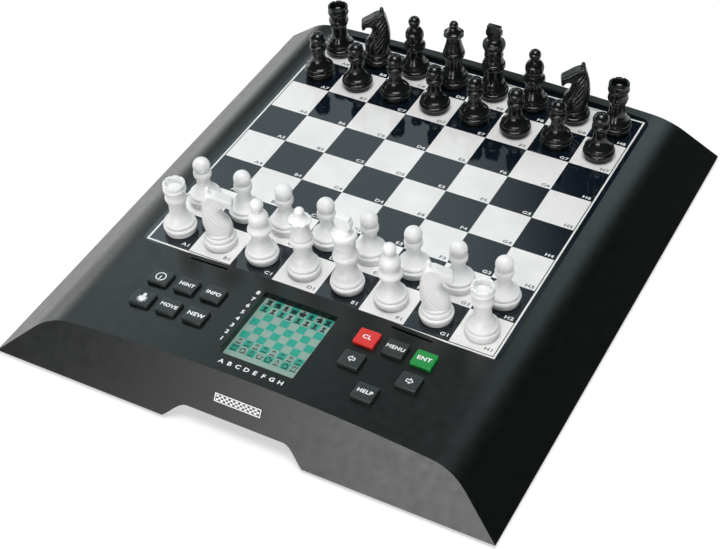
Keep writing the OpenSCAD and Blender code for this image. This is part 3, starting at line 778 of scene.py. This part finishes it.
# ---------------------------------------------------------------- badge
def make_badge():
    """A plain dark plate with a thin white border and a chequer of small squares."""
    w, h, t, z = 26.0, 4.6, 0.4, 18.6
    y = cad_box[0].y / MM + (z - SEAM_Z) * LEAN_FRONT
    tilt = math.atan2(1, LEAN_FRONT)
    place = Matrix.Translation((0, y * MM, z * MM)) @ Matrix.Rotation(tilt, 4, "X")
    v, f = stacked([[(px, py, z) for px, py in rounded_loop(w - d, h - d, 0.6)]
                    for z, d in ((0, 0), (t - 0.12, 0), (t - 0.04, 0.08), (t, 0.24))])
    slots = [0] * len(f)
    parts = [(v, f)]
    ink, inset = t + 0.012, 0.35
    corners = ((-1, -1), (1, -1), (1, 1), (-1, 1))
    border = strip([(a * (w / 2 - inset), b * (h / 2 - inset)) for a, b in corners], 0.5, closed=True)
    parts.append(moved(border, dz=ink))
    slots += [1] * len(border[1])
    cols, rows, side_margin, end_margin = 18, 3, 0.85, 1.0
    bw, bh = (w - 2 * end_margin) / cols, (h - 2 * side_margin) / rows
    for i in range(cols):
        for j in range(rows):
            if (i + j) % 2:
                continue
            x, y = -w / 2 + end_margin + i * bw, -h / 2 + side_margin + j * bh
            parts.append(flat([(x, y), (x + bw, y), (x + bw, y + bh), (x, y + bh)], ink))
            slots.append(1)
    v, f = joined(parts)
    mesh = mesh_from("badge_plate", v, f, [M["badge_dark"], M["badge_white"]], slots)
    mesh.transform(place)
    riding(new_object("badge_plate", mesh), "housing", "badge", "front_badge")


make_badge()


# ---------------------------------------------------------------- chess pieces
def bow(p, q, b, n=10):
    """From p to q, swelling outwards by b in the middle."""
    dx, dz = q[0] - p[0], q[1] - p[1]
    length = math.hypot(dx, dz)
    out = []
    for i in range(1, n + 1):
        t = i / n
        k = 4 * t * (1 - t) * b / length
        out.append((p[0] + dx * t + dz * k, p[1] + dz * t - dx * k))
    return out


def ball(r, cz, neck, n=20):
    a = math.degrees(math.asin(neck / r))
    return [(abs(r * math.cos(math.radians(t))), cz + r * math.sin(math.radians(t)))
            for t in ((-90 + a + (180 - a) * i / n) for i in range(n + 1))]


BASE_R = 8.9
# weighted disc, a ring over it and a thin groove under the bell
FOOT = [(0, 0), (BASE_R - 1.2, 0), (BASE_R - 0.85, 0.25), (BASE_R - 0.72, 0.8), (BASE_R - 0.72, 1.8),
        (BASE_R - 0.8, 2.25), (BASE_R - 0.5, 2.6), (BASE_R - 0.15, 3.2), (BASE_R, 3.8), (BASE_R - 0.08, 4.4),
        (BASE_R - 0.4, 4.9), (BASE_R - 0.95, 5.1), (BASE_R - 0.95, 5.5)]


def skirt(neck_r, neck_z):
    """Bell that sweeps up into a neck."""
    return FOOT + [(BASE_R - 0.8, 5.8), (BASE_R - 0.68, 6.3), (BASE_R - 0.8, 6.9), (BASE_R - 1.15, 7.3)] \
        + bow((BASE_R - 1.6, 7.45), (neck_r + 1.15, 10.4), -0.12, 8) \
        + bow((neck_r + 1.15, 10.4), (neck_r, 14.6), -0.3, 10) + [(neck_r, neck_z)]


PAWN_H, ROOK_H, BISHOP_H, QUEEN_H, KING_H = 29.4, 32.3, 39.2, 43.4, 47.6
PROFILES = {
    "pawn": skirt(3.65, 17.2)
    + [(3.75, 17.5), (4.4, 17.9), (4.75, 18.4), (4.88, 19.2), (4.9, 20.2), (4.8, 21.0), (4.5, 21.4),
       (4.1, 21.6), (3.8, 21.75)]
    + ball(4.65, PAWN_H - 4.65, 3.7),
    "rook": skirt(4.5, 18.2) + bow((4.5, 18.2), (5.4, 20.8), -0.15, 6)
    + [(5.5, 21.5), (5.75, 22.0), (5.85, 22.8), (5.75, 23.5), (5.5, 23.9)]
    + bow((5.5, 23.9), (5.65, 27.3), -0.15, 8)
    + [(5.95, 27.7), (6.1, 28.2), (6.1, 28.7), (5.95, 29.1), (5.65, 29.35), (5.6, 29.7), (5.8, 30.1),
       (5.88, 30.6), (5.88, ROOK_H - 0.5), (5.78, ROOK_H - 0.15), (5.5, ROOK_H), (4.75, ROOK_H),
       (4.5, ROOK_H - 0.15), (4.4, ROOK_H - 0.5), (4.1, ROOK_H - 3.8), (3.5, ROOK_H - 4.3),
       (0, ROOK_H - 4.4)],
    "bishop": skirt(4.6, 17.3) + bow((4.6, 17.3), (5.9, 18.3), -0.25, 6)
    + bow((5.9, 18.3), (5.3, 21.9), 0.75, 10) + bow((5.3, 21.9), (4.6, 23.8), -0.25, 6)
    + bow((4.6, 23.8), (2.5, 32.2), 1.75, 20) + [(2.35, 32.5), (2.3, 32.9)]
    + ball(3.45, BISHOP_H - 3.45, 2.3),
    "queen": skirt(4.8, 18.9) + bow((4.8, 18.9), (5.9, 20.1), -0.2, 6)
    + bow((5.9, 20.1), (6.2, 23.3), 0.4, 10)
    + [(5.9, 23.7), (5.5, 23.9), (5.45, 24.1), (5.65, 24.5), (5.7, 24.9), (5.6, 25.5)]
    + bow((5.6, 25.5), (4.2, 31.9), -0.2, 10) + bow((4.2, 31.9), (5.6, 34.2), -0.35, 8)
    + [(5.95, 34.6), (6.05, 35.1), (6.02, 35.55), (5.8, 35.9), (5.3, 36.0), (4.7, 36.1)]
    + bow((4.7, 36.1), (2.2, 39.2), -0.3, 8) + ball(2.6, QUEEN_H - 2.6, 2.15),
    "king": skirt(5.3, 18.6) + bow((5.3, 18.6), (6.1, 19.5), -0.2, 6)
    + bow((6.1, 19.5), (6.4, 23.2), 0.5, 10)
    + [(6.0, 23.5), (5.75, 23.65), (5.7, 24.0), (5.8, 24.5), (5.7, 25.0)]
    + bow((5.7, 25.0), (5.1, 27.2), -0.1, 5)
    + [(5.3, 27.7), (5.45, 28.3), (5.47, 29.0), (5.35, 29.5), (5.25, 29.9)]
    + bow((5.25, 29.9), (6.4, 34.0), -0.2, 8) + bow((6.4, 34.0), (6.2, 36.9), 0.3, 8)
    + [(5.8, 37.15), (5.3, 37.1), (4.8, 37.0)] + bow((4.8, 37.0), (3.2, 39.0), 0.2, 6) + [(0, 39.4)],
}


def turned(profile, n=72):
    """Lathe: (verts, faces) of a closed solid of revolution about Z."""
    verts, faces = [], []
    rings = []
    for r, z in profile:
        if r < 1e-4:
            rings.append([len(verts)])
            verts.append((0, 0, z))
        else:
            rings.append(list(range(len(verts), len(verts) + n)))
            verts += [(r * math.cos(2 * math.pi * i / n), r * math.sin(2 * math.pi * i / n), z)
                      for i in range(n)]
    for a, b in zip(rings, rings[1:]):
        for i in range(n):
            j = (i + 1) % n
            if len(a) == 1:
                faces.append((a[0], b[j], b[i]))
            elif len(b) == 1:
                faces.append((a[i], a[j], b[0]))
            else:
                faces.append((a[i], a[j], b[j], b[i]))
    return verts, faces


def turn_lists(lists, degrees, tilt=0.0, at=(0, 0, 0)):
    m = Matrix.Rotation(math.radians(degrees), 4, "Z") @ Matrix.Translation(at) \
        @ Matrix.Rotation(math.radians(tilt), 4, "Y")
    return [tuple(m @ Vector(v)) for v in lists[0]], lists[1]


def extruded(outline, half):
    """A prism of an (x, z) outline, from y = -half to half."""
    n = len(outline)
    verts = [(x, y, z) for y in (-half, half) for x, z in outline]
    faces = [tuple(range(n)), tuple(range(2 * n - 1, n - 1, -1))]
    faces += [(i, n + i, n + (i + 1) % n, (i + 1) % n) for i in range(n)]
    return verts, faces


def fresh(name, lists):
    """A bare mesh of closed lists, all its faces turned outwards."""
    mesh = mesh_from(name, *lists, [])
    bm = bmesh.new()
    bm.from_mesh(mesh)
    bmesh.ops.recalc_face_normals(bm, faces=bm.faces)
    bm.to_mesh(mesh)
    bm.free()
    return mesh


def rounded_prism(name, outline, half, radius, sharpest):
    """Mesh of a prism whose edges of more than that many degrees are rounded."""
    obj = new_object(name, fresh(name, extruded(outline, half)))
    mod = obj.modifiers.new("round", "BEVEL")
    mod.width = radius * MM
    mod.segments = 3
    mod.limit_method = "ANGLE"
    mod.angle_limit = math.radians(sharpest)
    apply_modifiers(obj)
    mesh = obj.data
    bpy.data.objects.remove(obj)
    return mesh


def make_rook():
    obj = new_object("rook", fresh("rook", turned(PROFILES["rook"])))
    for i in range(4):
        boolean(obj, fresh("slot", turn_lists(
            box_lists(-7, 7, -0.48, 0.48, ROOK_H - 0.8, ROOK_H + 1), 45 * i)))
    return obj


def make_queen():
    obj = new_object("queen", fresh("queen", turned(PROFILES["queen"], 96)))
    for i in range(8):
        rod = turned([(0, -3.5), (3.2, -3.5), (3.2, 3.5), (0, 3.5)], 48)
        boolean(obj, fresh("scallop", turn_lists(rod, 45 * i + 22.5, 18, (8.75, 0, 35.6))))
    return obj


CROSS = [(3.3, 38.0), (3.5, 40.8), (4.35, 41.6), (4.55, 42.6), (4.55, 44.5), (4.2, 45.1), (3.8, 45.4),
         (3.95, 46.1), (3.9, KING_H)]


def make_king():
    obj = new_object("king", fresh("king", turned(PROFILES["king"])))
    outline = CROSS + [(-x, z) for x, z in reversed(CROSS)]
    boolean(obj, rounded_prism("cross", outline, 1.8, 0.35, 25), "UNION")
    return obj


def tube(path, radii, n=10):
    """A closed tube along 3-D points with a radius at each."""
    verts, faces = [], []
    pts = [Vector(p) for p in path]
    side = Vector((0.13, 0.97, 0.2))
    for i, p in enumerate(pts):
        d = (pts[min(i + 1, len(pts) - 1)] - pts[max(i - 1, 0)]).normalized()
        u = d.cross(side).normalized()
        w = d.cross(u).normalized()
        for k in range(n):
            a = 2 * math.pi * k / n
            verts.append(tuple(p + (u * math.cos(a) + w * math.sin(a)) * radii[i]))
    for i in range(len(pts) - 1):
        for k in range(n):
            j = (k + 1) % n
            faces.append((i * n + k, i * n + j, (i + 1) * n + j, (i + 1) * n + k))
    faces.append(tuple(range(n - 1, -1, -1)))
    faces.append(tuple(range(n * (len(pts) - 1), n * len(pts))))
    return verts, faces


# side view of the head and neck, nose towards -X: (x, z)
KNIGHT_HEAD = [(7.5, 23.5), (7.2, 26.5), (6.7, 29.3), (5.9, 32.3), (4.9, 34.2), (3.9, 34.9), (2.2, 34.7),
               (-0.5, 33.9), (-4.1, 31.7), (-7.9, 29.5), (-8.4, 28.8), (-8.5, 26.5), (-8.3, 24.6),
               (-7.5, 24.0), (-6.8, 24.4), (-6.2, 25.5), (-5.2, 26.2), (-3.5, 26.1), (-2.4, 25.2),
               (-1.5, 23.5)]
# height, front, back and half thickness of the knight's neck
KNIGHT_NECK = [(9.0, -7.0, 6.6, 6.3), (12.0, -7.1, 7.4, 6.0), (15.0, -6.6, 8.0, 5.6),
               (16.8, -5.6, 8.15, 5.35), (18.6, -4.2, 8.2, 5.1), (20.6, -3.1, 8.2, 4.8),
               (23.0, -2.5, 8.0, 4.45), (25.4, -3.0, 7.7, 4.1), (27.5, -4.0, 7.3, 3.8),
               (30.0, -4.4, 6.6, 3.4), (32.0, -3.0, 6.0, 2.9), (33.6, 0.0, 5.2, 2.3)]
KNIGHT_TURN = 28


def neck_half(x, z):
    """Half thickness of the knight's neck at a point of its side view."""
    for low, high in zip(KNIGHT_NECK, KNIGHT_NECK[1:]):
        if z <= high[0]:
            break
    t = min(1, max(0, (z - low[0]) / (high[0] - low[0])))
    front, back, half = (p + (q - p) * t for p, q in zip(low[1:], high[1:]))
    u = abs((x - (front + back) / 2) / ((back - front) / 2))
    return half * max(0, 1 - u ** 2.4) ** (1 / 2.4)


def make_knight():
    """Round neck and flat head melted together, with a mane cut in and a knob on the poll."""
    loops = []
    for z, front, back, half in KNIGHT_NECK:
        ring = []
        for i in range(48):
            c, s = math.cos(math.pi * i / 24), math.sin(math.pi * i / 24)
            ring.append(((front + back) / 2 + (back - front) / 2 * math.copysign(abs(c) ** 0.83, c),
                         half * math.copysign(abs(s) ** 0.83, s), z))
        loops.append(ring)
    head = rounded_prism("head", KNIGHT_HEAD, 3.3, 0.9, 60)
    head_lists = ([tuple(v.co / MM) for v in head.vertices], [tuple(p.vertices) for p in head.polygons])
    knob = tube([(3.7, 0, 32.4), (3.6, 0, 35.4), (3.45, 0, 37.2), (3.35, 0, 38.3)],
                [1.7, 1.45, 1.25, 0.8], 16)
    adds = [stacked(loops), head_lists, knob]
    for side in (-1, 1):
        adds.append(turn_lists(turned(ball_profile(0.6)), 0, 0, (-4.6, side * 3.1, 29.9)))
    obj = new_object("knight", fresh("knight", joined(adds)))

    def melt(times):
        mod = obj.modifiers.new("melt", "REMESH")
        mod.mode = "VOXEL"
        mod.voxel_size = 0.3 * MM
        mod = obj.modifiers.new("smooth", "SMOOTH")
        mod.factor = 0.5
        mod.iterations = times
        apply_modifiers(obj)
    melt(5)
    # locks of the mane, sweeping up the neck on each side, and the mouth
    grooves = []
    for side in (-1, 1):
        for k in range(6):
            path, radii = [], []
            for i in range(13):
                t = i / 12
                x = -2.6 + 9.4 * t + 0.5 * math.sin(t * 3.1)
                z = 9.5 + 3.3 * k + 12 * t ** 1.2
                if z > 32.5:
                    continue
                y = max(neck_half(x, z), 3.2 if z > 26 else 0)
                path.append((x, side * (y + 0.05), z))
                radii.append(0.4 * math.sin(math.pi * (0.1 + 0.8 * t)))
            if len(path) > 3:
                grooves.append(tube(path, radii))
        grooves.append(tube([(-8.7, side * 3.1, 26.6), (-6.8, side * 3.4, 26.9), (-5.4, side * 3.5, 27.4)],
                            [0.35, 0.35, 0.2]))
    for g in grooves:
        boolean(obj, fresh("groove", g))
    melt(2)
    base = turned(FOOT + [(BASE_R - 0.85, 6.0)] + bow((BASE_R - 0.9, 6.4), (7.0, 8.1), 0.25, 6)
                  + [(6.95, 8.4), (7.15, 8.8), (7.1, 9.4), (6.6, 9.9), (0, 10.0)])
    boolean(obj, fresh("base", base), "UNION")
    return obj


def ball_profile(r, n=12):
    return [(abs(r * math.sin(math.pi * i / n)) if 0 < i < n else 0, -r * math.cos(math.pi * i / n))
            for i in range(n + 1)]


def make_pieces():
    makers = {"rook": make_rook, "queen": make_queen, "king": make_king, "knight": make_knight}
    shapes = {}
    for kind in ("pawn", "rook", "knight", "bishop", "queen", "king"):
        if kind in makers:
            obj = makers[kind]()
            mesh = obj.data
            bpy.data.objects.remove(obj)
        else:
            mesh = fresh(kind, turned(PROFILES[kind]))
        smooth_by_angle(mesh, 40)
        shapes[kind] = mesh
        print(kind, len(mesh.polygons), "faces")
    for side, look in (("white", "white_piece"), ("black", "black_piece")):
        for f in range(8):
            for row, kind in ((0, BACK_RANK[f]), (1, "pawn")):
                rank = row if side == "white" else 7 - row
                node = f"{side}_{kind}_{'abcdefgh'[f]}"
                mesh = shapes[kind].copy()
                mesh.materials.clear()
                mesh.materials.append(M[look])
                place = Matrix.Translation(((f - 3.5) * SQUARE * MM, (SHIFT + (rank - 3.5) * SQUARE) * MM,
                                            BOARD_Z * MM))
                turn = (180 if side == "white" else 0) + (KNIGHT_TURN if kind == "knight" else 0)
                place = place @ Matrix.Rotation(math.radians(turn), 4, "Z")
                mesh.transform(place)
                riding(new_object(node + "_shape", mesh), node + "_body", look, node)


make_pieces()


# ---------------------------------------------------------------- the CAD pieces that stay
STAYING = {
    "bottom_housing": "case_dark", "battery_cover": "case_dark", "sensor_membrane": "film",
    "lcd_window": "window", "lcd_module": "display_case", "main_circuit_board": "pcb",
    "key_mats": "silicone", "batteries": "cell", "battery_contacts": "steel", "speaker": "cone",
    "power_socket": "case_dark", "screws": "steel", "rubber_feet": "rubber",
}
for node, look in STAYING.items():
    data = nodes[node].data
    for i in range(len(data.materials)):
        data.materials[i] = M[look]
    if not data.materials:
        data.materials.append(M[look])


# ---------------------------------------------------------------- floor and light
def make_floor():
    n = Nodes("pale_floor")
    n.link(n.blend(n.spread(n.noise(2, 3), 0, 1), (0.50, 0.50, 0.50), (0.52, 0.52, 0.52)),
           n.shader.inputs["Base Color"])
    n.link(n.spread(n.noise(5, 2), 0.8, 0.95), n.shader.inputs["Roughness"])
    n.set(Specular_IOR_Level=0.1, Emission_Strength=0.56)
    n.shader.inputs["Emission Color"].default_value = (1, 1, 1, 1)
    half = 12.0
    mesh = bpy.data.meshes.new("floor")
    mesh.from_pydata([(-half, -half, 0), (half, -half, 0), (half, half, 0), (-half, half, 0)], [],
                     [(0, 1, 2, 3)])
    mesh.materials.append(n.material)
    new_object("floor", mesh)


def card(name, place, aim, width, height, glow, color):
    """A rectangular light with soft edges. Glow is the brightness of its middle."""
    data = bpy.data.lights.new(name, "AREA")
    data.shape = "RECTANGLE"
    data.size, data.size_y = width, height
    data.energy = glow * math.pi * width * height
    data.color = color
    data.use_nodes = True
    tree = data.node_tree
    emission = tree.nodes["Emission"]
    spot = tree.nodes.new("ShaderNodeNewGeometry")
    split = tree.nodes.new("ShaderNodeSeparateXYZ")
    tree.links.new(spot.outputs["Parametric"], split.inputs[0])

    def node(kind, a, b):
        made = tree.nodes.new("ShaderNodeMath")
        made.operation = kind
        for slot_number, value in enumerate((a, b)):
            if isinstance(value, (int, float)):
                made.inputs[slot_number].default_value = value
            else:
                tree.links.new(value, made.inputs[slot_number])
        return made.outputs[0]

    def edge(value):
        """1 in the middle, falling smoothly to 0 at both ends"""
        bump = node("MULTIPLY", node("MULTIPLY", value, node("SUBTRACT", 1.0, value)), 4.0)
        ramp = tree.nodes.new("ShaderNodeMapRange")
        ramp.interpolation_type = "SMOOTHSTEP"
        ramp.inputs["From Min"].default_value = 0.0
        ramp.inputs["From Max"].default_value = 0.75
        tree.links.new(bump, ramp.inputs["Value"])
        return ramp.outputs["Result"]
    tree.links.new(node("MULTIPLY", edge(split.outputs["X"]), edge(split.outputs["Y"])),
                   emission.inputs["Strength"])
    light = bpy.data.objects.new(name, data)
    light.location = place
    light.rotation_euler = (Vector(aim) - Vector(place)).to_track_quat("-Z", "Y").to_euler()
    bpy.context.scene.collection.objects.link(light)


def around(distance, azimuth, elevation):
    """A place that far from the middle of the table top, by its angles in degrees."""
    a, e = math.radians(azimuth), math.radians(elevation)
    return (distance * math.cos(a) * math.cos(e), distance * math.sin(a) * math.cos(e),
            distance * math.sin(e))


def make_light():
    world = bpy.data.worlds.new("studio")
    bpy.context.scene.world = world
    world.use_nodes = True
    tree = world.node_tree
    glow = tree.nodes["Background"]
    glow.inputs["Strength"].default_value = 0.02
    white = tree.nodes.new("ShaderNodeBackground")
    path = tree.nodes.new("ShaderNodeLightPath")
    mix = tree.nodes.new("ShaderNodeMixShader")
    tree.links.new(path.outputs["Is Camera Ray"], mix.inputs["Fac"])
    tree.links.new(glow.outputs[0], mix.inputs[1])
    tree.links.new(white.outputs[0], mix.inputs[2])
    tree.links.new(mix.outputs[0], tree.nodes["World Output"].inputs["Surface"])
    glow.inputs["Color"].default_value = (1, 1, 1, 1)
    white.inputs["Color"].default_value = (1, 1, 1, 1)
    cool, plain = (0.8, 0.96, 1.0), (1, 1, 1)
    middle = (0, 0.03, 0)
    card("card_back_left", around(2.4, 128, 37), middle, 1.4, 1.3, 1.1, cool)
    card("card_far_left", around(2.4, 150, 36), middle, 1.5, 1.5, 0.75, cool)
    card("card_back", around(2.4, 82, 38), middle, 1.5, 1.5, 1.7, cool)
    card("card_left", around(2.45, 165, 14), (0, 0, 0), 1.8, 1.1, 3.0, plain)
    card("softbox_top", (0.15, -0.25, 2.2), (0, 0, 0), 1.6, 1.6, 8.0, plain)
    card("softbox_front", (-0.35, -2.2, 0.45), (0, 0, 0.05), 1.25, 0.8, 7.5, plain)
    card("softbox_front_right", (0.55, -2.15, 0.45), (0, 0, 0.05), 0.7, 0.8, 9.5, plain)


make_floor()
make_light()
bpy.context.scene.view_settings.view_transform = "Standard"
bpy.context.scene.view_settings.look = "None"
